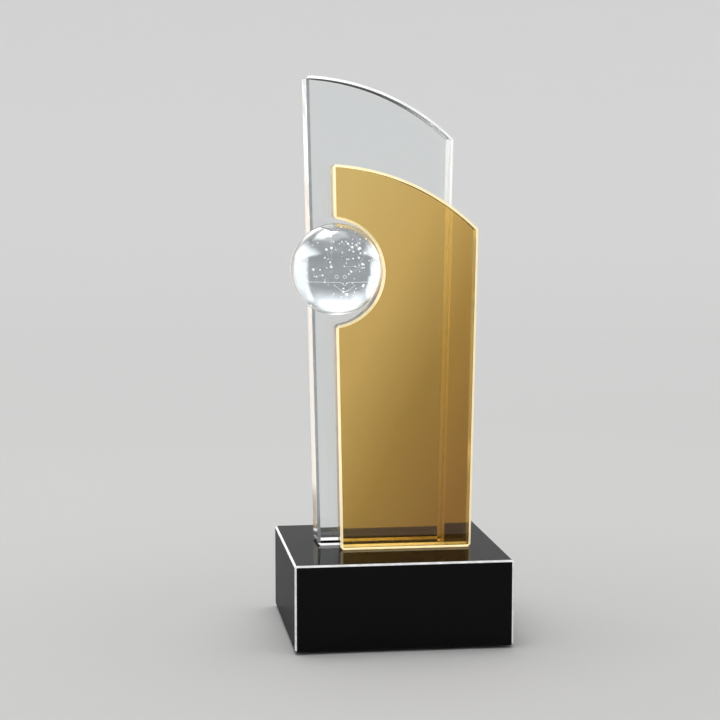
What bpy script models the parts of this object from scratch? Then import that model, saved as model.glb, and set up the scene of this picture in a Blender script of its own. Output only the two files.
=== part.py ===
# Crystal award: two bonded crystal plaques and a crystal ball on a black crystal block.
# Metres, +Z up, front of the award facing -Y, origin on the table under the block's centre.

import math

import bmesh
import bpy

# Joints. Neighbouring pieces stand this far apart, and each adhesive film is this thick.
clearance = 0.0003
film_thickness = 0.0003
joint = clearance + film_thickness + clearance

# Base block and the pads it stands on
base_width = 0.096
base_depth = 0.093
base_height = 0.038
base_chamfer = 0.0008
pad_radius = 0.006
pad_thickness = 0.0007
pad_inset = 0.011

# Plaques. Each is a tapered sheet with a falling arc for its top.
crown_radius = 0.1005

rear_foot_width = 0.0572
rear_thickness = 0.020
rear_offset = -0.0045
rear_flare = 0.0228
rear_crown_x = -0.0412
rear_crown_height = 0.110
rear_chamfer = 0.0012

front_foot_width = 0.059
front_thickness = 0.010
front_offset = 0.0054
front_flare = 0.0195
front_crown_x = -0.0327
front_crown_height = 0.0711
front_chamfer = 0.0011

# Ball, and the round notch that clears it in the front plaque
ball_radius = 0.020
ball_x = -0.0271
ball_height = 0.126
ball_seat_radius = 0.006
notch_radius = 0.0237
notch_x = -0.0289
notch_height = 0.124

# Film edges stay this far inside the faces that they join
film_inset = 0.0018
seat_film_radius = 0.00525

# Facets, and the turn between two faces past which their edge is chamfered
crown_steps = 40
notch_steps = 96
ball_segments = 64
ball_rings = 32
round_segments = 40
chamfer_angle = math.radians(30)

# Working values: points closer than the weld are one, faces within the flat angle are one face,
# and the search for a plaque's top corner takes this many rounds
weld_distance = 0.000001
flat_angle = math.radians(0.5)
corner_search_rounds = 30
notch_cutter_depth = 0.040

# Levels up from the table, and faces from front to back
base_floor = pad_thickness + clearance
base_top = base_floor + base_height
plaque_floor = base_top + joint
stack_depth = rear_thickness + joint + front_thickness
rear_back_y = stack_depth / 2
rear_front_y = rear_back_y - rear_thickness
front_back_y = rear_front_y - joint
front_front_y = front_back_y - front_thickness
notch_z = base_top + notch_height
ball_z = base_top + ball_height


def clear_scene():
    for item in list(bpy.data.objects):
        bpy.data.objects.remove(item, do_unlink=True)


def new_collection(name, hidden=False):
    collection = bpy.data.collections.new(name)
    collection.hide_render = hidden
    bpy.context.scene.collection.children.link(collection)
    return collection


def new_material(name, colour, roughness, alpha=1.0, transmission=0.0):
    material = bpy.data.materials.new(name)
    material.use_nodes = True
    shader = material.node_tree.nodes["Principled BSDF"]
    shader.inputs["Base Color"].default_value = (*colour, 1.0)
    shader.inputs["Metallic"].default_value = 0.0
    shader.inputs["Roughness"].default_value = roughness
    shader.inputs["Alpha"].default_value = alpha
    shader.inputs["Transmission Weight"].default_value = transmission
    material.diffuse_color = (*colour, alpha)
    return material


def keep(item, name, material, collection):
    """Names an object, gives it its material and moves it to its collection."""
    item.name = name
    item.data.name = name
    if material is not None:
        item.data.materials.clear()
        item.data.materials.append(material)
    for owner in list(item.users_collection):
        owner.objects.unlink(item)
    collection.objects.link(item)
    return item


def apply_scale(item):
    item.data.transform(item.matrix_basis.to_3x3().to_4x4())
    item.scale = (1.0, 1.0, 1.0)
    item.rotation_euler = (0.0, 0.0, 0.0)


def add_chamfer(item, width):
    bevel = item.modifiers.new("Polished chamfer", "BEVEL")
    bevel.width = width
    bevel.segments = 1
    bevel.limit_method = "ANGLE"
    bevel.angle_limit = chamfer_angle
    return bevel


def add_box(name, size, centre, material, collection):
    bpy.ops.mesh.primitive_cube_add(size=1.0, location=centre)
    box = bpy.context.active_object
    box.scale = size
    apply_scale(box)
    return keep(box, name, material, collection)


def add_cylinder(name, radius, depth, centre, along_y, material, collection):
    turn = (math.pi / 2, 0.0, 0.0) if along_y else (0.0, 0.0, 0.0)
    bpy.ops.mesh.primitive_cylinder_add(
        vertices=round_segments, radius=radius, depth=depth, location=centre, rotation=turn
    )
    cylinder = bpy.context.active_object
    apply_scale(cylinder)
    return keep(cylinder, name, material, collection)


def crown_point(x, crown_x, crown_z, radius):
    """Height of the falling arc over a point x."""
    return crown_z + math.sqrt(radius**2 - (x - crown_x) ** 2)


def edge_meets_crown(foot_x, floor_z, flare, crown_x, crown_z, radius):
    """Where a flared side, x = foot_x + flare * height, runs into the arc."""
    x = foot_x
    for _ in range(corner_search_rounds):
        z = crown_point(x, crown_x, crown_z, radius)
        x = foot_x + flare * (z - floor_z)
    return x


def plaque_outline(left_x, right_x, left_flare, right_flare, floor_z, crown_x, crown_z, radius):
    """Corners and arc points of a plaque, anticlockwise seen from the front."""
    top_left = edge_meets_crown(left_x, floor_z, -left_flare, crown_x, crown_z, radius)
    top_right = edge_meets_crown(right_x, floor_z, right_flare, crown_x, crown_z, radius)
    points = [(left_x, floor_z), (right_x, floor_z)]
    start = math.acos((top_right - crown_x) / radius)
    end = math.acos((top_left - crown_x) / radius)
    for step in range(crown_steps + 1):
        turn = start + (end - start) * step / crown_steps
        points.append((crown_x + radius * math.cos(turn), crown_z + radius * math.sin(turn)))
    return points


def add_sheet(name, outline, thickness, centre_y, material, collection):
    """A flat sheet standing in the XZ plane, cut to an outline of (x, z) points."""
    curve = bpy.data.curves.new(name + "_outline", "CURVE")
    curve.dimensions = "2D"
    curve.fill_mode = "BOTH"
    curve.extrude = thickness / 2
    spline = curve.splines.new("POLY")
    spline.points.add(len(outline) - 1)
    for point, (x, z) in zip(spline.points, outline):
        point.co = (x, z, 0.0, 1.0)
    spline.use_cyclic_u = True

    flat = bpy.data.objects.new(name + "_outline", curve)
    flat.rotation_euler = (math.pi / 2, 0.0, 0.0)
    flat.location = (0.0, centre_y, 0.0)
    bpy.context.scene.collection.objects.link(flat)
    bpy.context.view_layer.update()
    graph = bpy.context.evaluated_depsgraph_get()
    mesh = bpy.data.meshes.new_from_object(flat.evaluated_get(graph))

    body = bmesh.new()
    body.from_mesh(mesh)
    bmesh.ops.remove_doubles(body, verts=body.verts, dist=weld_distance)
    bmesh.ops.dissolve_limit(body, angle_limit=flat_angle, verts=body.verts, edges=body.edges)
    bmesh.ops.recalc_face_normals(body, faces=body.faces)
    body.to_mesh(mesh)
    body.free()

    sheet = bpy.data.objects.new(name, mesh)
    sheet.matrix_world = flat.matrix_world
    bpy.context.scene.collection.objects.link(sheet)
    bpy.data.objects.remove(flat, do_unlink=True)
    return keep(sheet, name, material, collection)


def cut(item, cutter):
    boolean = item.modifiers.new("Cut " + cutter.name, "BOOLEAN")
    boolean.operation = "DIFFERENCE"
    boolean.solver = "EXACT"
    boolean.object = cutter
    return boolean


def as_cutter(item):
    item.hide_render = True
    item.display_type = "WIRE"
    return item


def add_notch_cutter(name, radius, parts):
    bpy.ops.mesh.primitive_cylinder_add(
        vertices=notch_steps,
        radius=radius,
        depth=notch_cutter_depth,
        location=(notch_x, front_back_y, notch_z),
        rotation=(math.pi / 2, 0.0, 0.0),
    )
    cutter = bpy.context.active_object
    apply_scale(cutter)
    return as_cutter(keep(cutter, name, None, parts))


def add_base(parts, black):
    centre = (0.0, 0.0, base_floor + base_height / 2)
    base = add_box("base_block", (base_width, base_depth, base_height), centre, black, parts)
    add_chamfer(base, base_chamfer)


def add_pads(parts, foam):
    for side, x_sign in (("left", -1), ("right", 1)):
        for end, y_sign in (("front", -1), ("rear", 1)):
            centre = (
                x_sign * (base_width / 2 - pad_inset),
                y_sign * (base_depth / 2 - pad_inset),
                pad_thickness / 2,
            )
            add_cylinder(f"foot_pad_{end}_{side}", pad_radius, pad_thickness, centre, False, foam, parts)


def add_rear_plaque(parts, clear):
    outline = plaque_outline(
        rear_offset - rear_foot_width / 2,
        rear_offset + rear_foot_width / 2,
        rear_flare,
        rear_flare,
        plaque_floor,
        rear_crown_x,
        base_top + rear_crown_height,
        crown_radius,
    )
    middle_y = (rear_front_y + rear_back_y) / 2
    plaque = add_sheet("rear_plaque", outline, rear_thickness, middle_y, clear, parts)
    add_chamfer(plaque, rear_chamfer)


def add_front_plaque(parts, cutters, amber):
    outline = plaque_outline(
        front_offset - front_foot_width / 2,
        front_offset + front_foot_width / 2,
        front_flare,
        front_flare,
        plaque_floor,
        front_crown_x,
        base_top + front_crown_height,
        crown_radius,
    )
    middle_y = (front_front_y + front_back_y) / 2
    plaque = add_sheet("front_plaque", outline, front_thickness, middle_y, amber, parts)
    cut(plaque, add_notch_cutter("notch_cutter", notch_radius, cutters))
    add_chamfer(plaque, front_chamfer)


def add_ball(parts, cutters, clear):
    seat_depth = ball_radius - math.sqrt(ball_radius**2 - ball_seat_radius**2)
    ball_y = front_back_y - ball_radius + seat_depth
    bpy.ops.mesh.primitive_uv_sphere_add(
        segments=ball_segments,
        ring_count=ball_rings,
        radius=ball_radius,
        location=(ball_x, ball_y, ball_z),
    )
    ball = keep(bpy.context.active_object, "crystal_ball", clear, parts)
    ball.data.shade_smooth()
    slab = 2 * ball_radius
    cutter = add_box(
        "ball_seat_cutter",
        (2 * slab, slab, 2 * slab),
        (ball_x, front_back_y + slab / 2, ball_z),
        None,
        cutters,
    )
    cut(ball, as_cutter(cutter))


def add_foot_film(name, width, thickness, offset, centre_y, glue, parts):
    size = (width - 2 * film_inset, thickness - 2 * film_inset, film_thickness)
    centre = (offset, centre_y, base_top + joint / 2)
    add_box(name, size, centre, glue, parts)


def add_films(parts, cutters, glue):
    rear_y = (rear_front_y + rear_back_y) / 2
    front_y = (front_front_y + front_back_y) / 2
    add_foot_film(
        "bond_rear_plaque_foot", rear_foot_width, rear_thickness, rear_offset, rear_y, glue, parts
    )
    add_foot_film(
        "bond_front_plaque_foot", front_foot_width, front_thickness, front_offset, front_y, glue, parts
    )

    middle_y = rear_front_y - joint / 2
    outline = plaque_outline(
        front_offset - front_foot_width / 2 + film_inset,
        rear_offset + rear_foot_width / 2 - film_inset,
        front_flare,
        rear_flare,
        plaque_floor + film_inset,
        front_crown_x,
        base_top + front_crown_height,
        crown_radius - film_inset,
    )
    film = add_sheet("bond_between_plaques", outline, film_thickness, middle_y, glue, parts)
    cut(film, add_notch_cutter("film_notch_cutter", notch_radius + film_inset, cutters))

    seat_centre = (ball_x, middle_y, ball_z)
    add_cylinder("bond_ball_seat", seat_film_radius, film_thickness, seat_centre, True, glue, parts)


def main():
    clear_scene()
    parts = new_collection("crystal_award")
    cutters = new_collection("cutters", hidden=True)

    black = new_material("black crystal", (0.004, 0.004, 0.005), 0.03)
    clear = new_material("clear crystal", (0.95, 0.97, 0.97), 0.02, alpha=0.35, transmission=1.0)
    amber = new_material("amber crystal", (0.56, 0.36, 0.12), 0.02, alpha=0.7, transmission=1.0)
    glue = new_material("clear adhesive", (0.95, 0.95, 0.93), 0.1, alpha=0.3, transmission=1.0)
    foam = new_material("black foam", (0.01, 0.01, 0.01), 0.9)

    add_base(parts, black)
    add_pads(parts, foam)
    add_rear_plaque(parts, clear)
    add_front_plaque(parts, cutters, amber)
    add_ball(parts, cutters, clear)
    add_films(parts, cutters, glue)


main()
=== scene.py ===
import math
import random

import bmesh
import bpy
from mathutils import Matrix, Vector


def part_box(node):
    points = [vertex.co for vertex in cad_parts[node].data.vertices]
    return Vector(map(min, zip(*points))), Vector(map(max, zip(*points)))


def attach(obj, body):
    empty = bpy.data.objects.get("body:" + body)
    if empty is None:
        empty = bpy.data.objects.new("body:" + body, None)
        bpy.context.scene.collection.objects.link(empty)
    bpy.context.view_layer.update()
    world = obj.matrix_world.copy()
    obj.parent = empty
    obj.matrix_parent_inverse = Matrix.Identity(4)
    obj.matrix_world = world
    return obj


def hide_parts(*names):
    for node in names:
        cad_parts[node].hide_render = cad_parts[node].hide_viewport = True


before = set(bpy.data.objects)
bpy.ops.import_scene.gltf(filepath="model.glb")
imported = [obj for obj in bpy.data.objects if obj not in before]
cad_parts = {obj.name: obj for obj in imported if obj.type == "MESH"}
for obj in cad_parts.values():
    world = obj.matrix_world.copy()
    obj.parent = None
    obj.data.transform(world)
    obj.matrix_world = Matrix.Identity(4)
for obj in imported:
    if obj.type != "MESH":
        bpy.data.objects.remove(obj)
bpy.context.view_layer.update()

print("frame loaded")

mm = 0.001


def srgb(hexText):
    # an sRGB hex colour as linear RGBA
    channels = [int(hexText[i:i + 2], 16) / 255 for i in (1, 3, 5)]
    linear = [c / 12.92 if c <= 0.04045 else ((c + 0.055) / 1.055) ** 2.4 for c in channels]
    return (*linear, 1.0)


def addNode(tree, kind, settings=None, values=None, links=None):
    node = tree.nodes.new(kind)
    for key, value in (settings or {}).items():
        setattr(node, key, value)
    for key, value in (values or {}).items():
        node.inputs[key].default_value = value
    for key, source in (links or {}).items():
        tree.links.new(source, node.inputs[key])
    return node


def newMaterial(name):
    material = bpy.data.materials.new(name)
    material.use_nodes = True
    tree = material.node_tree
    tree.nodes.clear()
    return material, tree


def finishMaterial(tree, shader):
    addNode(tree, "ShaderNodeOutputMaterial", links={"Surface": shader.outputs[0]})


def setRamp(node, stops):
    ramp = node.color_ramp
    while len(ramp.elements) > len(stops):
        ramp.elements.remove(ramp.elements[-1])
    while len(ramp.elements) < len(stops):
        ramp.elements.new(1.0)
    for element, (place, colour) in zip(ramp.elements, stops):
        element.position = place
        element.color = colour


def grey(value):
    return (value, value, value, 1.0)


camera = {
    "place": (-0.1265, -0.8267, 0.2082),
    "yaw": 7.79,       # degrees, turned to the right
    "pitch": 5.85,     # degrees, turned down
    "lens": 93.0,      # millimetres, on a sensor this wide
    "sensor": 36.0,
    "near": 0.01,
    "far": 50.0,
}


def addCamera():
    yaw = math.radians(camera["yaw"])
    pitch = math.radians(camera["pitch"])
    level = math.cos(pitch)
    look = Vector((math.sin(yaw) * level, math.cos(yaw) * level, -math.sin(pitch)))
    data = bpy.data.cameras.new("camera")
    data.lens = camera["lens"]
    data.sensor_width = camera["sensor"]
    data.clip_start = camera["near"]
    data.clip_end = camera["far"]
    view = bpy.data.objects.new("camera", data)
    view.location = camera["place"]
    view.rotation_euler = look.to_track_quat("-Z", "Y").to_euler()
    bpy.context.scene.collection.objects.link(view)
    bpy.context.scene.camera = view


crystal = {
    "ior": 1.52,            # optical crystal of the K9 kind
    "hazeSize": 22 * mm,    # how far apart the hand-polisher's passes lie
}


def polishHaze(tree, low, high):
    # roughness that drifts a little over the surface, as hand polishing leaves it
    place = addNode(tree, "ShaderNodeTexCoord")
    noise = addNode(
        tree, "ShaderNodeTexNoise",
        values={"Scale": 1 / crystal["hazeSize"], "Detail": 3.0, "Roughness": 0.6},
        links={"Vector": place.outputs["Object"]},
    )
    spread = addNode(
        tree, "ShaderNodeMapRange",
        values={"From Min": 0.35, "From Max": 0.75, "To Min": low, "To Max": high},
        links={"Value": noise.outputs["Fac"]},
    )
    return spread.outputs["Result"]


def mottle(tree, size, deepHex, paleHex, detail=2.0):
    # colour that drifts between two tints, in patches of about this size
    place = addNode(tree, "ShaderNodeTexCoord")
    noise = addNode(
        tree, "ShaderNodeTexNoise", values={"Scale": 1 / size, "Detail": detail},
        links={"Vector": place.outputs["Object"]},
    )
    ramp = addNode(tree, "ShaderNodeValToRGB", links={"Fac": noise.outputs["Fac"]})
    setRamp(ramp, [(0.3, srgb(deepHex)), (0.7, srgb(paleHex))])
    return ramp.outputs["Color"]


def clearCrystal(name, tintHex, low, high):
    # optical crystal, polished: near colourless, with a haze only a raking light shows; the ball's
    # grey tint is a painted shade
    material, tree = newMaterial(name)
    shader = addNode(
        tree, "ShaderNodeBsdfPrincipled",
        values={
            "Base Color": srgb(tintHex), "IOR": crystal["ior"],
            "Transmission Weight": 1.0, "Metallic": 0.0,
        },
        links={"Roughness": polishHaze(tree, low, high)},
    )
    finishMaterial(tree, shader)
    return material


amber = {
    # from the upper left, where the crystal is palest, to the foot on the right
    "tints": ((0.0, "#FFD880"), (0.35, "#F0C468"), (0.65, "#C09438"), (1.0, "#A07020")),
    "slope": (1.0, 0.0, -0.5),       # how much a metre along x, y and z darkens the gold
    "pale": -120 * mm,               # where along that way it starts and ends
    "deep": 0.0,
}


def amberCrystal():
    # amber optical crystal, polished: the gold is darker from the crown down to the foot
    material, tree = newMaterial("amber optical crystal, polished")
    place = addNode(tree, "ShaderNodeTexCoord")
    along = addNode(
        tree, "ShaderNodeVectorMath", {"operation": "DOT_PRODUCT"}, {1: amber["slope"]},
        {0: place.outputs["Object"]},
    )
    depth = addNode(
        tree, "ShaderNodeMapRange",
        values={"From Min": amber["pale"], "From Max": amber["deep"], "To Min": 0.0, "To Max": 1.0},
        links={"Value": along.outputs["Value"]},
    )
    ramp = addNode(tree, "ShaderNodeValToRGB", links={"Fac": depth.outputs["Result"]})
    setRamp(ramp, [(spot, srgb(tint)) for spot, tint in amber["tints"]])
    shader = addNode(
        tree, "ShaderNodeBsdfPrincipled",
        values={"IOR": crystal["ior"], "Transmission Weight": 1.0, "Metallic": 0.0},
        links={"Base Color": ramp.outputs["Color"], "Roughness": polishHaze(tree, 0.0, 0.02)},
    )
    finishMaterial(tree, shader)
    return material


def blackCrystal(name, coat, coatRoughness):
    # black optical crystal: the body gives no light back, and the polish is a weak mirror over it
    material, tree = newMaterial(name)
    shader = addNode(
        tree, "ShaderNodeBsdfPrincipled",
        values={
            "Base Color": srgb("#040405"), "IOR": crystal["ior"], "Specular IOR Level": 0.0,
            "Coat Weight": coat, "Coat Roughness": coatRoughness, "Coat IOR": 1.5,
        },
        links={"Roughness": polishHaze(tree, 0.2, 0.4)},
    )
    finishMaterial(tree, shader)
    return material


def groundArrisPaintedGlow():
    # crystal edge, fine ground: the narrow bevel stays matt and reads as a pale line, and a weak white
    # emission adds a painted highlight glow
    material, tree = newMaterial("crystal edge, fine ground, painted glow")
    colour = mottle(tree, 2.5 * mm, "#C9CACB", "#F2F2F2")
    shader = addNode(
        tree, "ShaderNodeBsdfPrincipled",
        values={
            "IOR": crystal["ior"], "Roughness": 0.35,
            "Emission Color": grey(1.0), "Emission Strength": 0.2,
        },
        links={"Base Color": colour},
    )
    finishMaterial(tree, shader)
    return material


def sideCrystal(name, tintHex, tintDeepHex):
    # crystal side, fine lapped: still clear from the side, and a pale streak at a low angle
    material, tree = newMaterial(name)
    colour = mottle(tree, 9 * mm, tintDeepHex, tintHex, detail=3.0)
    shader = addNode(
        tree, "ShaderNodeBsdfPrincipled",
        values={"IOR": crystal["ior"], "Roughness": 0.08, "Transmission Weight": 0.95},
        links={"Base Color": colour},
    )
    finishMaterial(tree, shader)
    return material


def satinEdgePaintedGlow(name, tintHex, tintDeepHex, glow):
    # crystal, satin ground: pale narrow faces with an emission, a painted glow that stands in for
    # the light that runs inside the plate
    material, tree = newMaterial(name)
    colour = mottle(tree, 3 * mm, tintDeepHex, tintHex, detail=3.0)
    shader = addNode(
        tree, "ShaderNodeBsdfPrincipled",
        values={
            "IOR": crystal["ior"], "Roughness": 0.4, "Transmission Weight": 0.3,
            "Emission Color": srgb(tintHex), "Emission Strength": glow,
        },
        links={"Base Color": colour},
    )
    finishMaterial(tree, shader)
    return material


def padFoam():
    # EVA foam, die cut: dull black with fine cells
    material, tree = newMaterial("EVA foam, die cut")
    place = addNode(tree, "ShaderNodeTexCoord")
    cells = addNode(
        tree, "ShaderNodeTexVoronoi",
        values={"Scale": 1 / (0.4 * mm)},
        links={"Vector": place.outputs["Object"]},
    )
    ramp = addNode(tree, "ShaderNodeValToRGB", links={"Fac": cells.outputs["Distance"]})
    setRamp(ramp, [(0.0, srgb("#0B0B0C")), (1.0, srgb("#232324"))])
    bump = addNode(
        tree, "ShaderNodeBump",
        values={"Strength": 0.4, "Distance": 0.05 * mm},
        links={"Height": cells.outputs["Distance"]},
    )
    shader = addNode(
        tree, "ShaderNodeBsdfPrincipled",
        values={"Roughness": 0.9},
        links={"Base Color": ramp.outputs["Color"], "Normal": bump.outputs["Normal"]},
    )
    finishMaterial(tree, shader)
    return material


def engravedSpeckPaintedGlow():
    # laser-cracked crystal: each speck is white, and an emission makes it glow as a painted highlight
    material, tree = newMaterial("laser-cracked crystal, painted glow")
    colour = mottle(tree, 1.5 * mm, "#E4E6E8", "#FFFFFF")
    shader = addNode(
        tree, "ShaderNodeBsdfPrincipled",
        values={"Roughness": 0.9, "Emission Color": grey(1.0), "Emission Strength": 1.2},
        links={"Base Color": colour},
    )
    finishMaterial(tree, shader)
    return material


def linkPiece(name, mesh):
    piece = bpy.data.objects.new(name, mesh)
    bpy.context.scene.collection.objects.link(piece)
    return piece


def linkMesh(name, bm, materials):
    mesh = bpy.data.meshes.new(name)
    bm.to_mesh(mesh)
    bm.free()
    for material in materials:
        mesh.materials.append(material)
    return linkPiece(name, mesh)


def smoothExceptSharp(piece, degrees=25):
    piece.data.shade_smooth()
    piece.data.set_sharp_from_angle(angle=math.radians(degrees))


def makeCubeMesh(low, high):
    bm = bmesh.new()
    bmesh.ops.create_cube(bm, size=1.0)
    for vert in bm.verts:
        vert.co = Vector([low[i] + (vert.co[i] + 0.5) * (high[i] - low[i]) for i in range(3)])
    return bm


def takeMesh(holder):
    # the finished mesh of a curve, or of a curve with Geometry Nodes on it, which is then removed
    bpy.context.scene.collection.objects.link(holder)
    bpy.context.view_layer.update()
    graph = bpy.context.evaluated_depsgraph_get()
    mesh = bpy.data.meshes.new_from_object(holder.evaluated_get(graph))
    bpy.data.objects.remove(holder, do_unlink=True)
    return mesh


def chamferSharpEdges(bm, width, segments=1, degrees=50):
    least = math.radians(degrees)
    sharp = [e for e in bm.edges if len(e.link_faces) == 2 and e.calc_face_angle(0.0) > least]
    return bmesh.ops.bevel(
        bm, geom=sharp, offset=width, offset_type="OFFSET", segments=segments,
        profile=0.5, affect="EDGES", clamp_overlap=True,
    )


block = {
    "chamfer": 0.8 * mm,
}
blockEdge, blockSide = 1, 2     # its finishes, after the polished top


def makeBase(black, blackSide, arris):
    low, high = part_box("base_block")
    bm = makeCubeMesh(low, high)
    made = chamferSharpEdges(bm, block["chamfer"])
    bm.normal_update()
    for face in bm.faces:
        if abs(face.normal.z) < 0.1:       # upright
            face.material_index = blockSide
    for face in made["faces"]:
        if face.normal.z > -0.3:           # every arris but those round the underside
            face.material_index = blockEdge
    piece = linkMesh("baseBlock", bm, [black, arris, blackSide])
    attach(piece, "root")
    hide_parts("base_block")


pad = {
    "edge": 0.25 * mm,
    "edgeSteps": 3,
    "segments": 64,
    "sharpFrom": 40,      # degrees
}


def makePads(foam):
    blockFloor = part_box("base_block")[0].z
    for corner in ("front_left", "front_right", "rear_left", "rear_right"):
        node = "foot_pad_" + corner
        low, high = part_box(node)
        radius = (high.x - low.x) / 2
        bm = bmesh.new()
        bmesh.ops.create_cone(
            bm, cap_ends=True, segments=pad["segments"], radius1=radius, radius2=radius,
            depth=blockFloor - low.z,
        )
        centre = Vector(((low.x + high.x) / 2, (low.y + high.y) / 2, (low.z + blockFloor) / 2))
        bmesh.ops.translate(bm, verts=bm.verts, vec=centre)
        chamferSharpEdges(bm, pad["edge"], segments=pad["edgeSteps"])
        piece = linkMesh("pad_" + corner, bm, [foam])
        smoothExceptSharp(piece, pad["sharpFrom"])
        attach(piece, "root")
        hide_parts(node)


rear = {
    "footWidth": 57.2 * mm,
    "footCentre": -4.5 * mm,
    "flare": 0.0228,
    "crownRadius": 100.5 * mm,
    "crownX": -41.2 * mm,
    "crownHeight": 110 * mm,   # of the arc's centre over the block
    "chamfer": 1.2 * mm,
    "notch": None,
    "paintedGlowBackEdge": True,     # the right edge is ground behind too and carries its painted glow, which shows through the sheet
}
front = {
    "footWidth": 59 * mm,
    "footCentre": 5.4 * mm,
    "flare": 0.0195,
    "crownRadius": 100.5 * mm,
    "crownX": -32.7 * mm,
    "crownHeight": 71.1 * mm,
    "chamfer": 1.1 * mm,
    "notch": {"radius": 23.7 * mm, "x": -28.9 * mm, "height": 124 * mm},
    "paintedGlowBackEdge": False,
}
arcSteps = 40          # few enough that the chamfer at a corner fits in the last step
notchSteps = 44
cornerSearch = 30      # rounds, far more than the corner needs to settle
bondDip = 0.01 * mm    # bonded faces pass into each other by this, so no air shows between them
footZone = 2 * mm      # faces below this height over the block belong to a plaque's foot
lapped, ground, groundFootPaintedGlow, groundLeftPaintedLight, groundRightPaintedGlow = 1, 2, 3, 4, 5     # a plaque's finishes: the satin edges glow as painted light, the foot and right edge most, and the clear left edge is painted grey as shade


def plaqueOutline(shape, floorZ, blockTop):
    # corners and arcs of a plaque as (x, z), anticlockwise from the front
    left = shape["footCentre"] - shape["footWidth"] / 2
    right = shape["footCentre"] + shape["footWidth"] / 2
    crownZ = blockTop + shape["crownHeight"]
    radius = shape["crownRadius"]

    def meetCrown(footX, flare):
        x = footX
        for _ in range(cornerSearch):
            z = crownZ + math.sqrt(radius ** 2 - (x - shape["crownX"]) ** 2)
            x = footX + flare * (z - floorZ)
        return x

    start = math.acos((meetCrown(right, shape["flare"]) - shape["crownX"]) / radius)
    end = math.acos((meetCrown(left, -shape["flare"]) - shape["crownX"]) / radius)
    points = [(left, floorZ), (right, floorZ)]
    for i in range(arcSteps + 1):
        turn = start + (end - start) * i / arcSteps
        points.append((shape["crownX"] + radius * math.cos(turn), crownZ + radius * math.sin(turn)))

    notch = shape["notch"]
    if notch:
        notchZ = blockTop + notch["height"]
        centre = Vector((notch["x"], notchZ))
        side = Vector((-shape["flare"], 1.0)).normalized()
        reach = Vector((left, floorZ)) - centre
        along = -reach.dot(side)
        half = math.sqrt(notch["radius"] ** 2 - (reach + side * along).length ** 2)
        upper = reach + side * (along + half)
        lower = reach + side * (along - half)
        start = math.atan2(upper.y, upper.x)
        end = math.atan2(lower.y, lower.x)
        for i in range(notchSteps + 1):
            turn = start + (end - start) * i / notchSteps
            x = centre.x + notch["radius"] * math.cos(turn)
            points.append((x, centre.y + notch["radius"] * math.sin(turn)))
    return points


def makePlaque(name, node, shape, yFront, yBack, material, satin):
    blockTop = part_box("base_block")[1].z
    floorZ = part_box(node)[0].z
    outline = plaqueOutline(shape, floorZ, blockTop)
    contact = blockTop - bondDip
    outline[0] = (outline[0][0], contact)
    outline[1] = (outline[1][0], contact)
    bm = bmesh.new()
    face = bm.faces.new([bm.verts.new((x, yFront, z)) for x, z in outline])
    made = bmesh.ops.extrude_face_region(bm, geom=[face])
    back = [item for item in made["geom"] if isinstance(item, bmesh.types.BMVert)]
    bmesh.ops.translate(bm, verts=back, vec=(0.0, yBack - yFront, 0.0))
    bmesh.ops.recalc_face_normals(bm, faces=bm.faces)
    chamferSharpEdges(bm, shape["chamfer"])
    bm.normal_update()
    for side in bm.faces:
        way = side.normal
        low = side.calc_center_median().z < blockTop + footZone
        if way.z < -0.9 or abs(way.y) > 0.95:         # the foot, the front and the back
            continue
        if abs(way.y) < 0.1:                          # the narrow sides
            side.material_index = lapped
        elif way.x > 0.6 and (way.y < 0 or shape["paintedGlowBackEdge"]):
            side.material_index = groundRightPaintedGlow
        elif way.y > 0:
            side.material_index = lapped
        elif way.z < -0.5 and low:
            side.material_index = groundFootPaintedGlow
        elif way.x < -0.6:
            side.material_index = groundLeftPaintedLight
        else:
            side.material_index = ground
    piece = linkMesh(name, bm, [material, *satin])
    smoothExceptSharp(piece)
    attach(piece, "root")
    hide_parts(node)
    return piece


ball = {
    "segments": 128,
    "rings": 64,
}


def ballCentre():
    low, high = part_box("crystal_ball")
    radius = (high.x - low.x) / 2
    return Vector(((low.x + high.x) / 2, low.y + radius, (low.z + high.z) / 2)), radius


def makeBall(material):
    centre, radius = ballCentre()
    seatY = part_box("rear_plaque")[0].y + bondDip
    bm = bmesh.new()
    bmesh.ops.create_uvsphere(bm, u_segments=ball["segments"], v_segments=ball["rings"], radius=radius)
    bmesh.ops.translate(bm, verts=bm.verts, vec=centre)
    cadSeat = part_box("crystal_ball")[1].y
    for vert in bm.verts:      # back by the film's gap, so that the ball's flat meets the plaque
        vert.co.y += seatY - cadSeat
    cut = bmesh.ops.bisect_plane(
        bm, geom=bm.verts[:] + bm.edges[:] + bm.faces[:], plane_co=(0.0, seatY, 0.0),
        plane_no=(0.0, 1.0, 0.0), clear_outer=True,
    )
    rim = [item for item in cut["geom_cut"] if isinstance(item, bmesh.types.BMEdge)]
    bmesh.ops.contextual_create(bm, geom=rim)
    bmesh.ops.recalc_face_normals(bm, faces=bm.faces)
    piece = linkMesh("crystalBall", bm, [material])
    smoothExceptSharp(piece)
    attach(piece, "root")
    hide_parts("crystal_ball", "bond_ball_seat")


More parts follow.
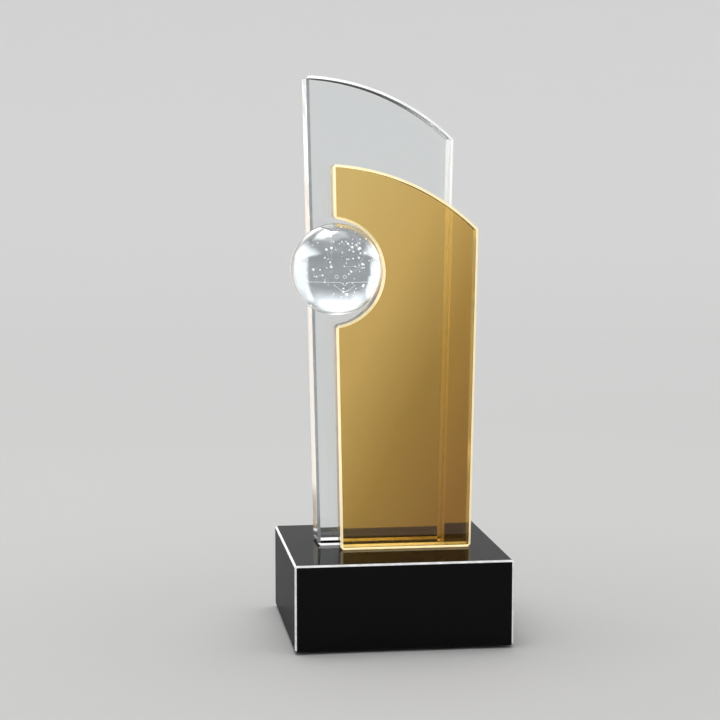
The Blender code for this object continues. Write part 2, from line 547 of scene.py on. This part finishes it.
stars = {
    "seed": 41,
    "figures": 9,             # joined-up star figures
    "dustCount": 70,
    "starRadius": 0.38 * mm,
    "lineRadius": 0.07 * mm,
    "lineStep": 0.5 * mm,
    "reach": 0.78,            # of the ball's radius
    "startReach": (0.45, 1.0),     # of that, where a figure's first star lies
    "hop": (0.14, 0.32),      # from one star of a figure to the next, of the ball's radius
    "hops": (2, 5),           # of them in a figure
    "tries": 40,              # to place each star inside the reach
    "flat": 0.5,              # figures spread this much in depth, against 1 across
    "starSizes": (0.45, 1.3),
    "dustSizes": (0.2, 0.7),
    "dustReach": (0.2, 1.0),
}
horizon = {
    "lineRadius": 0.05 * mm,
    "level": -0.19,          # the rest in parts of the ball's radius
    "halfWidth": 0.46,
    "dip": 0.055,
    "dipX": 0.12,
    "rippleWidth": 0.34,
    "rippleDrop": 1.7,       # of the ripple under the line, and its swing, in dips
    "rippleSwing": 0.8,
    "rippleSteps": 24,
    "rings": ((0.0, -0.11), (0.12, -0.11)),     # two small rings over the line
    "ringRadius": 0.024,
    "ringSteps": 14,
}


def starCurve():
    # random chains of stars as one curve of poly splines
    centre, radius = ballCentre()
    pick = random.Random(stars["seed"])
    curve = bpy.data.curves.new("starFigures", "CURVE")
    curve.dimensions = "3D"
    limit = radius * stars["reach"]
    for _ in range(stars["figures"]):
        here = Vector((pick.uniform(-1, 1), pick.uniform(-1, 1), pick.uniform(-1, 1)))
        here = here.normalized() * limit * pick.uniform(*stars["startReach"])
        chain = [here]
        for _ in range(pick.randint(*stars["hops"])):
            for _ in range(stars["tries"]):
                step = Vector((pick.gauss(0, 1), pick.gauss(0, stars["flat"]), pick.gauss(0, 1)))
                there = chain[-1] + step.normalized() * pick.uniform(*stars["hop"]) * radius
                if there.length < limit:
                    chain.append(there)
                    break
        spline = curve.splines.new("POLY")
        spline.points.add(len(chain) - 1)
        for point, co in zip(spline.points, chain):
            point.co = (*(co + centre), 1.0)
    return curve


def makeHorizon(material):
    # a fine engraved line across the lower half of the ball, with a dip in it, a ripple under it
    # and two rings over it
    centre, radius = ballCentre()
    curve = bpy.data.curves.new("horizonLine", "CURVE")
    curve.dimensions = "3D"
    curve.bevel_depth = horizon["lineRadius"]
    curve.bevel_resolution = 1
    curve.use_fill_caps = True
    level = horizon["level"] * radius
    half = horizon["halfWidth"] * radius
    dip = horizon["dip"] * radius
    dipX = horizon["dipX"] * radius
    line = [
        (-half, level), (dipX - dip, level), (dipX, level - dip), (dipX + dip, level), (half, level),
    ]
    ripple = []
    for i in range(horizon["rippleSteps"] + 1):
        t = i / horizon["rippleSteps"]
        x = dipX + horizon["rippleWidth"] * radius * (t - 0.5)
        drop = horizon["rippleDrop"] + horizon["rippleSwing"] * math.cos(2 * math.pi * (t - 0.5))
        ripple.append((x, level - dip * drop))
    figures = [line, ripple]
    turns = [2 * math.pi * i / horizon["ringSteps"] for i in range(horizon["ringSteps"] + 1)]
    wide = horizon["ringRadius"]
    for ringX, ringZ in horizon["rings"]:
        ring = [(ringX + wide * math.cos(t), ringZ + wide * math.sin(t)) for t in turns]
        figures.append([(x * radius, z * radius) for x, z in ring])
    for points in figures:
        spline = curve.splines.new("POLY")
        spline.points.add(len(points) - 1)
        for point, (x, z) in zip(spline.points, points):
            point.co = (centre.x + x, centre.y, centre.z + z, 1.0)
    mesh = takeMesh(bpy.data.objects.new("horizonLine", curve))
    mesh.materials.clear()
    mesh.materials.append(material)
    piece = linkPiece("engravedHorizon", mesh)
    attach(piece, "root")


def randomNumber(tree, span, seed):
    # a random number for each point, from the low to the high end of the span
    node = addNode(
        tree, "FunctionNodeRandomValue", {"data_type": "FLOAT"}, {2: span[0], 3: span[1]},
        {"Seed": seed},
    )
    return node.outputs[1]


def starTree(material):
    # dots along each chain, a larger dot at each of its points, and loose dust around them
    tree = bpy.data.node_groups.new("engravedStars", "GeometryNodeTree")
    face = tree.interface
    face.new_socket("Geometry", in_out="INPUT", socket_type="NodeSocketGeometry")
    for label, kind, value in (
        ("Star radius", "NodeSocketFloat", stars["starRadius"]),
        ("Line radius", "NodeSocketFloat", stars["lineRadius"]),
        ("Line step", "NodeSocketFloat", stars["lineStep"]),
        ("Dust count", "NodeSocketInt", stars["dustCount"]),
        ("Reach", "NodeSocketFloat", 0.0),
        ("Centre", "NodeSocketVector", (0.0, 0.0, 0.0)),
        ("Seed", "NodeSocketInt", stars["seed"]),
    ):
        face.new_socket(label, in_out="INPUT", socket_type=kind).default_value = value
    face.new_socket("Geometry", in_out="OUTPUT", socket_type="NodeSocketGeometry")
    given = addNode(tree, "NodeGroupInput").outputs

    ico = addNode(tree, "GeometryNodeMeshIcoSphere", values={"Radius": 1.0, "Subdivisions": 2})
    bead = addNode(tree, "GeometryNodeMeshIcoSphere", values={"Radius": 1.0, "Subdivisions": 1})

    steps = addNode(
        tree, "GeometryNodeResampleCurve", {"mode": "LENGTH"},
        links={"Curve": given["Geometry"], "Length": given["Line step"]},
    )
    lineDots = addNode(
        tree, "GeometryNodeInstanceOnPoints",
        links={"Points": steps.outputs[0], "Instance": bead.outputs[0], "Scale": given["Line radius"]},
    )

    starPoints = addNode(
        tree, "GeometryNodeCurveToPoints", {"mode": "EVALUATED"},
        links={"Curve": given["Geometry"]},
    )
    starSize = addNode(
        tree, "ShaderNodeMath", {"operation": "MULTIPLY"},
        links={0: randomNumber(tree, stars["starSizes"], given["Seed"]), 1: given["Star radius"]},
    )
    starDots = addNode(
        tree, "GeometryNodeInstanceOnPoints",
        links={
            "Points": starPoints.outputs[0], "Instance": ico.outputs[0], "Scale": starSize.outputs[0],
        },
    )

    way = addNode(
        tree, "FunctionNodeRandomValue", {"data_type": "FLOAT_VECTOR"},
        {0: (-1.0, -1.0, -1.0), 1: (1.0, 1.0, 1.0)}, {"Seed": given["Seed"]},
    )
    unit = addNode(tree, "ShaderNodeVectorMath", {"operation": "NORMALIZE"}, links={0: way.outputs[0]})
    reach = addNode(
        tree, "ShaderNodeMath", {"operation": "MULTIPLY"},
        links={0: randomNumber(tree, stars["dustReach"], given["Dust count"]), 1: given["Reach"]},
    )
    arm = addNode(
        tree, "ShaderNodeVectorMath", {"operation": "SCALE"},
        links={0: unit.outputs[0], "Scale": reach.outputs[0]},
    )
    place = addNode(
        tree, "ShaderNodeVectorMath", {"operation": "ADD"},
        links={0: arm.outputs[0], 1: given["Centre"]},
    )
    dust = addNode(
        tree, "GeometryNodePoints",
        links={"Count": given["Dust count"], "Position": place.outputs[0]},
    )
    dustSize = addNode(
        tree, "ShaderNodeMath", {"operation": "MULTIPLY"},
        links={0: randomNumber(tree, stars["dustSizes"], given["Seed"]), 1: given["Star radius"]},
    )
    dustDots = addNode(
        tree, "GeometryNodeInstanceOnPoints",
        links={"Points": dust.outputs[0], "Instance": bead.outputs[0], "Scale": dustSize.outputs[0]},
    )

    joined = addNode(tree, "GeometryNodeJoinGeometry")
    for part in (lineDots, starDots, dustDots):
        tree.links.new(part.outputs[0], joined.inputs[0])
    real = addNode(tree, "GeometryNodeRealizeInstances", links={"Geometry": joined.outputs[0]})
    painted = addNode(
        tree, "GeometryNodeSetMaterial", values={"Material": material},
        links={"Geometry": real.outputs[0]},
    )
    addNode(tree, "NodeGroupOutput", links={0: painted.outputs[0]})
    return tree


def socketId(tree, label):
    for item in tree.interface.items_tree:
        if item.item_type == "SOCKET" and item.in_out == "INPUT" and item.name == label:
            return item.identifier
    raise KeyError(label)


def makeStars(material):
    centre, radius = ballCentre()
    holder = bpy.data.objects.new("starFigures", starCurve())
    tree = starTree(material)
    modifier = holder.modifiers.new("engraved stars", "NODES")
    modifier.node_group = tree
    modifier[socketId(tree, "Reach")] = radius * stars["reach"]
    modifier[socketId(tree, "Centre")] = centre
    piece = linkPiece("engravedStars", takeMesh(holder))
    piece.data.shade_smooth()
    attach(piece, "root")


glue = {
    "radius": 0.42 * mm,     # of the bead squeezed out along a plaque's front foot
    "wobble": 0.22 * mm,     # how far its skin swells and sinks
    "swell": 9 * mm,         # how far apart the swellings lie
    "step": 0.8 * mm,
    "sides": 12,
    "back": 0.5,             # of the chamfer, from the plaque's front to the bead's middle
    "lift": 0.6,             # of the radius, from the block's top to the bead's middle
    "seed": 7,
    "seedPerMetre": 100,     # so that beads of other lengths would differ
    "filmInset": 0.05 * mm,  # of the film inside the chamfers of the foot
}


def squeezedAdhesivePaintedGlow():
    # UV adhesive, cured clear: a wavy bead under the crystal, painted cream and glowing by emission as
    # a painted highlight
    material, tree = newMaterial("UV adhesive, cured clear, painted cream glow")
    colour = mottle(tree, 4 * mm, "#E8D3A0", "#FFF3D2")
    shader = addNode(
        tree, "ShaderNodeBsdfPrincipled",
        values={
            "IOR": 1.49, "Roughness": 0.2, "Transmission Weight": 0.3,
            "Emission Color": srgb("#FFEFC4"), "Emission Strength": 0.35,
        },
        links={"Base Color": colour},
    )
    finishMaterial(tree, shader)
    return material


def beadTree(material):
    # a round bead along a path, its skin pushed in and out by slow noise
    tree = bpy.data.node_groups.new("adhesiveBead", "GeometryNodeTree")
    face = tree.interface
    face.new_socket("Geometry", in_out="INPUT", socket_type="NodeSocketGeometry")
    for label, kind, value in (
        ("Radius", "NodeSocketFloat", glue["radius"]),
        ("Wobble", "NodeSocketFloat", glue["wobble"]),
        ("Swell", "NodeSocketFloat", glue["swell"]),
        ("Step", "NodeSocketFloat", glue["step"]),
        ("Seed", "NodeSocketFloat", float(glue["seed"])),
    ):
        face.new_socket(label, in_out="INPUT", socket_type=kind).default_value = value
    face.new_socket("Geometry", in_out="OUTPUT", socket_type="NodeSocketGeometry")
    given = addNode(tree, "NodeGroupInput").outputs
    path = addNode(
        tree, "GeometryNodeResampleCurve", {"mode": "LENGTH"},
        links={"Curve": given["Geometry"], "Length": given["Step"]},
    )
    ring = addNode(
        tree, "GeometryNodeCurvePrimitiveCircle", {"mode": "RADIUS"},
        {"Resolution": glue["sides"]}, {"Radius": given["Radius"]},
    )
    tube = addNode(
        tree, "GeometryNodeCurveToMesh", values={"Fill Caps": True},
        links={"Curve": path.outputs[0], "Profile Curve": ring.outputs[0]},
    )
    here = addNode(tree, "GeometryNodeInputPosition")
    pitch = addNode(tree, "ShaderNodeMath", {"operation": "DIVIDE"}, {0: 1.0}, {1: given["Swell"]})
    noise = addNode(
        tree, "ShaderNodeTexNoise", {"noise_dimensions": "4D"}, {"Detail": 2.0},
        {"Vector": here.outputs[0], "W": given["Seed"], "Scale": pitch.outputs[0]},
    )
    level = addNode(
        tree, "ShaderNodeMath", {"operation": "SUBTRACT"}, {1: 0.5}, {0: noise.outputs["Fac"]},
    )
    push = addNode(
        tree, "ShaderNodeMath", {"operation": "MULTIPLY"},
        links={0: level.outputs[0], 1: given["Wobble"]},
    )
    out = addNode(tree, "GeometryNodeInputNormal")
    arm = addNode(
        tree, "ShaderNodeVectorMath", {"operation": "SCALE"},
        links={0: out.outputs[0], "Scale": push.outputs[0]},
    )
    moved = addNode(
        tree, "GeometryNodeSetPosition",
        links={"Geometry": tube.outputs[0], "Offset": arm.outputs[0]},
    )
    real = addNode(tree, "GeometryNodeRealizeInstances", links={"Geometry": moved.outputs[0]})
    painted = addNode(
        tree, "GeometryNodeSetMaterial", values={"Material": material},
        links={"Geometry": real.outputs[0]},
    )
    addNode(tree, "NodeGroupOutput", links={0: painted.outputs[0]})
    return tree


def makeBead(name, shape, yFront, material):
    # the adhesive squeezed out along a plaque's front foot
    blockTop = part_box("base_block")[1].z
    half = shape["footWidth"] / 2 - shape["chamfer"]
    y = yFront + glue["back"] * shape["chamfer"]
    z = blockTop + glue["lift"] * glue["radius"]
    curve = bpy.data.curves.new(name, "CURVE")
    curve.dimensions = "3D"
    spline = curve.splines.new("POLY")
    spline.points.add(1)
    for point, side in zip(spline.points, (-1, 1)):
        point.co = (shape["footCentre"] + side * half, y, z, 1.0)
    holder = bpy.data.objects.new(name, curve)
    tree = beadTree(material)
    modifier = holder.modifiers.new("adhesive bead", "NODES")
    modifier.node_group = tree
    modifier[socketId(tree, "Seed")] = glue["seed"] + glue["seedPerMetre"] * half
    mesh = takeMesh(holder)
    bm = bmesh.new()
    bm.from_mesh(mesh)
    bmesh.ops.recalc_face_normals(bm, faces=bm.faces)
    bm.to_mesh(mesh)
    bm.free()
    mesh.shade_smooth()
    piece = linkPiece(name, mesh)
    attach(piece, "root")


def bondedBlack():
    # clear adhesive on black crystal: the joint is wet out, so the eye sees into the black
    material, tree = newMaterial("UV adhesive, cured over black crystal")
    colour = mottle(tree, 6 * mm, "#050505", "#090909")
    shader = addNode(
        tree, "ShaderNodeBsdfPrincipled",
        values={"Roughness": 0.8, "Specular IOR Level": 0.0},
        links={"Base Color": colour},
    )
    finishMaterial(tree, shader)
    return material


def makeFootBond(name, node, shape, yFront, yBack, material):
    # a film that lies just inside the plaque's foot
    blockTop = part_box("base_block")[1].z
    inset = shape["chamfer"] + glue["filmInset"]
    left = shape["footCentre"] - shape["footWidth"] / 2 + inset
    right = shape["footCentre"] + shape["footWidth"] / 2 - inset
    low = Vector((left, yFront + inset, blockTop - 2 * bondDip))
    high = Vector((right, yBack - inset, blockTop + bondDip))
    piece = linkMesh(name, makeCubeMesh(low, high), [material])
    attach(piece, "root")
    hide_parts(node)


stage = {
    "floor": "#CBCBCA",
    "wall": "#CFCFCF",
    "sky": "#9C9C9E",
    "radius": 2.6,
    "sweep": 1.1,
    "height": 2.6,
    "skyStart": 0.75,   # metres up the wall where it starts to darken, and where it is dark
    "skyEnd": 1.3,
    "wallStart": 0.26,  # metres up where the floor's shade has become the wall's
    "curveSteps": 16,
    "roundSteps": 96,
    # backlight of the paper, which evens out the wall: metres from the middle, and its level
    "glow": (
        (0.12, 0.0), (0.3, 0.04), (0.7, 0.09), (1.1, 0.17),
        (1.6, 0.23), (2.0, 0.25), (2.72, 0.24), (2.95, 0.0),
    ),
    "glowSpan": 4.0,    # metres
    "air": 0.92,        # strength of the even light all round
}


def makeStage():
    # a round studio sweep: flat floor, curved foot, straight wall
    bm = bmesh.new()
    flatRadius = stage["radius"] - stage["sweep"]
    profile = [(0.0, 0.0), (flatRadius, 0.0)]
    for i in range(1, stage["curveSteps"] + 1):
        turn = i / stage["curveSteps"] * math.pi / 2
        out = stage["sweep"] * math.sin(turn)
        profile.append((flatRadius + out, stage["sweep"] - stage["sweep"] * math.cos(turn)))
    profile.append((stage["radius"], stage["height"]))
    verts = [bm.verts.new((r, 0.0, z)) for r, z in profile]
    edges = [bm.edges.new(pair) for pair in zip(verts, verts[1:])]
    bmesh.ops.spin(
        bm, geom=verts + edges, axis=(0.0, 0.0, 1.0), cent=(0.0, 0.0, 0.0),
        angle=2 * math.pi, steps=stage["roundSteps"], use_duplicate=False,
    )
    bmesh.ops.remove_doubles(bm, verts=bm.verts, dist=0.5 * mm)
    bmesh.ops.recalc_face_normals(bm, faces=bm.faces)

    material, tree = newMaterial("matt studio paper")
    place = addNode(tree, "ShaderNodeTexCoord")
    split = addNode(tree, "ShaderNodeSeparateXYZ", links={"Vector": place.outputs["Object"]})
    rise = addNode(
        tree, "ShaderNodeMapRange",
        values={"From Min": 0.0, "From Max": stage["height"], "To Min": 0.0, "To Max": 1.0},
        links={"Value": split.outputs["Z"]},
    )
    reach = addNode(
        tree, "ShaderNodeVectorMath", {"operation": "LENGTH"},
        links={0: place.outputs["Object"]},
    )
    spread = addNode(
        tree, "ShaderNodeMapRange",
        values={"From Min": 0.0, "From Max": stage["glowSpan"], "To Min": 0.0, "To Max": 1.0},
        links={"Value": reach.outputs["Value"]},
    )
    ramp = addNode(tree, "ShaderNodeValToRGB", links={"Fac": rise.outputs["Result"]})
    setRamp(ramp, [
        (0.0, srgb(stage["floor"])),
        (stage["wallStart"] / stage["height"], srgb(stage["wall"])),
        (stage["skyStart"] / stage["height"], srgb(stage["wall"])),
        (stage["skyEnd"] / stage["height"], srgb(stage["sky"])),
    ])
    glow = addNode(tree, "ShaderNodeValToRGB", links={"Fac": spread.outputs["Result"]})
    setRamp(glow, [(far / stage["glowSpan"], grey(level)) for far, level in stage["glow"]])
    shader = addNode(
        tree, "ShaderNodeBsdfPrincipled",
        values={"Roughness": 1.0, "Specular IOR Level": 0.0, "Emission Strength": 1.0},
        links={"Base Color": ramp.outputs["Color"], "Emission Color": glow.outputs["Color"]},
    )
    finishMaterial(tree, shader)
    sweep = linkMesh("studioSweep", bm, [material])
    sweep.data.shade_smooth()


softboxes = {
    # place, the point it faces, width, height, watts, how far its soft rim reaches in,
    # and the rays that see it
    "overhead": (
        (-0.1, 0.15, 1.25), (0.0, 0.0, 0.1), 1.1, 0.9, 11.0, 0.2, "diffuse glossy transmission",
    ),
    "cap": ((-0.22, 0.30, 0.95), (-0.03, 0.0, 0.16), 0.75, 0.6, 24.0, 0.4, "glossy"),
    "backTop": ((-0.05, 0.90, 0.68), (-0.03, 0.0, 0.16), 1.2, 0.45, 9.0, 0.4, "glossy"),
    "tentLeft": ((-0.27, 0.30, 0.24), (0.0, 0.30, 0.24), 0.50, 0.47, 1.25, 0.25, "transmission"),
    "tentRight": ((0.24, 0.24, 0.24), (0.0, 0.24, 0.24), 0.38, 0.47, 0.85, 0.25, "transmission"),
    "bounceLeft": ((-0.34, 0.32, 0.006), (-0.34, 0.32, 0.5), 0.4, 0.5, 1.0, 0.25, "transmission"),
    "bounceRight": ((0.34, 0.32, 0.006), (0.34, 0.32, 0.5), 0.4, 0.5, 1.0, 0.25, "transmission"),
    "sideLeft": ((-0.60, 0.35, 0.40), (0.0, 0.1, 0.25), 0.6, 0.75, 3.0, 0.4, "glossy"),
    "sideRight": ((0.60, 0.35, 0.40), (0.0, 0.1, 0.25), 0.6, 0.75, 3.0, 0.4, "glossy"),
    "high": ((0.0, 0.80, 0.75), (-0.03, 0.0, 0.16), 1.9, 0.9, 15.0, 0.45, "glossy transmission"),
    "edgeStrip": ((-0.148, 0.25, 0.17), (-0.14, 0.0, 0.17), 0.205, 0.32, 0.16, 0.05, "glossy"),
}


def clothFalloff(tree, rim):
    # a softbox is brightest in its middle: 0 to 1 across its cloth, folded at the middle
    tree.nodes.clear()
    across = addNode(tree, "ShaderNodeNewGeometry")
    shift = addNode(
        tree, "ShaderNodeVectorMath", {"operation": "SUBTRACT"}, {1: (0.5, 0.5, 0.5)},
        {0: across.outputs["Parametric"]},
    )
    fold = addNode(
        tree, "ShaderNodeVectorMath", {"operation": "ABSOLUTE"}, links={0: shift.outputs[0]},
    )
    parts = addNode(tree, "ShaderNodeSeparateXYZ", links={0: fold.outputs[0]})
    level = None
    for axis in "XY":
        soft = addNode(
            tree, "ShaderNodeMapRange", {"interpolation_type": "SMOOTHSTEP"},
            {"From Min": 0.5, "From Max": 0.5 - rim, "To Min": 0.0, "To Max": 1.0},
            {"Value": parts.outputs[axis]},
        )
        if level is None:
            level = soft
        else:
            level = addNode(
                tree, "ShaderNodeMath", {"operation": "MULTIPLY"},
                links={0: level.outputs[0], 1: soft.outputs[0]},
            )
    cloth = addNode(tree, "ShaderNodeEmission", links={"Strength": level.outputs[0]})
    addNode(tree, "ShaderNodeOutputLight", links={"Surface": cloth.outputs[0]})


def addLights():
    for name, (place, aim, width, height, watts, rim, rays) in softboxes.items():
        data = bpy.data.lights.new(name, "AREA")
        data.shape = "RECTANGLE"
        data.size = width
        data.size_y = height
        data.energy = watts
        data.use_nodes = True
        clothFalloff(data.node_tree, rim)
        lamp = bpy.data.objects.new(name, data)
        lamp.location = place
        lamp.rotation_euler = (Vector(aim) - Vector(place)).to_track_quat("-Z", "Y").to_euler()
        lamp.visible_camera = False
        lamp.visible_diffuse = "diffuse" in rays
        lamp.visible_glossy = "glossy" in rays
        lamp.visible_transmission = "transmission" in rays
        bpy.context.scene.collection.objects.link(lamp)

    world = bpy.data.worlds.new("studio air")
    world.use_nodes = True
    air = world.node_tree.nodes["Background"].inputs
    air["Color"].default_value = grey(1.0)
    air["Strength"].default_value = stage["air"]
    bpy.context.scene.world = world


def setLightPaths():
    cycles = bpy.context.scene.cycles
    cycles.max_bounces = 32
    cycles.transmission_bounces = 32
    cycles.glossy_bounces = 16
    cycles.transparent_max_bounces = 16
    bpy.context.scene.view_settings.view_transform = "Standard"


addCamera()
makeStage()
addLights()
setLightPaths()
print("stage and camera set")

clear = clearCrystal("clear optical crystal, polished", "#F7FAFA", 0.0, 0.012)
# the ball's crystal is tinted grey, a painted shade that darkens it
ballGreyedForShade = clearCrystal("clear optical crystal, lapped ball, greyed as painted shade", "#C0C4C8", 0.0, 0.002)
gold = amberCrystal()
black = blackCrystal("black optical crystal, polished", 0.42, 0.02)
blackSide = blackCrystal("black optical crystal, side polish", 0.22, 0.03)

makeBase(black, blackSide, groundArrisPaintedGlow())
makePads(padFoam())

rearLow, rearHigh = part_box("rear_plaque")
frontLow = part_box("front_plaque")[0]
# the edge finishes carry painted light: each satin edge glows as a painted highlight, the foot and
# right edge most, and the left edge is painted grey as shade
satinPaintedLightClear = [
    sideCrystal("clear optical crystal, lapped side", "#FFFFFF", "#F4F6F6"),
    satinEdgePaintedGlow("clear optical crystal, painted-glow satin ground", "#FFFFFF", "#E9ECEC", 0.22),
    satinEdgePaintedGlow("clear optical crystal, painted-glow satin ground foot", "#FFFFFF", "#E9ECEC", 0.75),
    satinEdgePaintedGlow("clear optical crystal, painted-glow satin ground left edge", "#A9ADAF", "#8F9496", 0.03),
    satinEdgePaintedGlow("clear optical crystal, painted-glow satin ground right edge", "#FBFBF8", "#E4E7E6", 0.42),
]
# the amber satin edges are painted pale cream and glow as a painted highlight, the foot most
satinPaintedLightGold = [
    # the amber sides are painted a pale cream, lighter than the body, as a painted highlight
    sideCrystal("amber optical crystal, lapped side, painted pale", "#FFF0C8", "#FBE6B4"),
    satinEdgePaintedGlow("amber optical crystal, painted-glow satin ground", "#FFEFC4", "#F8E0A8", 0.4),
    satinEdgePaintedGlow("amber optical crystal, painted-glow satin ground foot", "#FFEFC4", "#F8E0A8", 0.8),
    satinEdgePaintedGlow("amber optical crystal, painted-glow satin ground left edge", "#FFF0CC", "#FBE6B8", 0.5),
    satinEdgePaintedGlow("amber optical crystal, painted-glow satin ground right edge", "#FFEFC4", "#F8E0A8", 0.45),
]
makePlaque(
    "rearPlaque", "rear_plaque", rear, rearLow.y, rearHigh.y, clear, satinPaintedLightClear,
)
frontBack = rearLow.y + bondDip
frontPiece = makePlaque(
    "frontPlaque", "front_plaque", front, frontLow.y, frontBack, gold, satinPaintedLightGold,
)
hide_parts("bond_between_plaques")
print("plaques made")

makeBall(ballGreyedForShade)
speck = engravedSpeckPaintedGlow()
makeStars(speck)
makeHorizon(speck)
print("ball and its stars made")

wetBlack = bondedBlack()
makeFootBond("rearFootBond", "bond_rear_plaque_foot", rear, rearLow.y, rearHigh.y, wetBlack)
makeFootBond("frontFootBond", "bond_front_plaque_foot", front, frontLow.y, frontBack, wetBlack)
makeBead("frontFootBead", front, frontLow.y, squeezedAdhesivePaintedGlow())
print("bonds made")
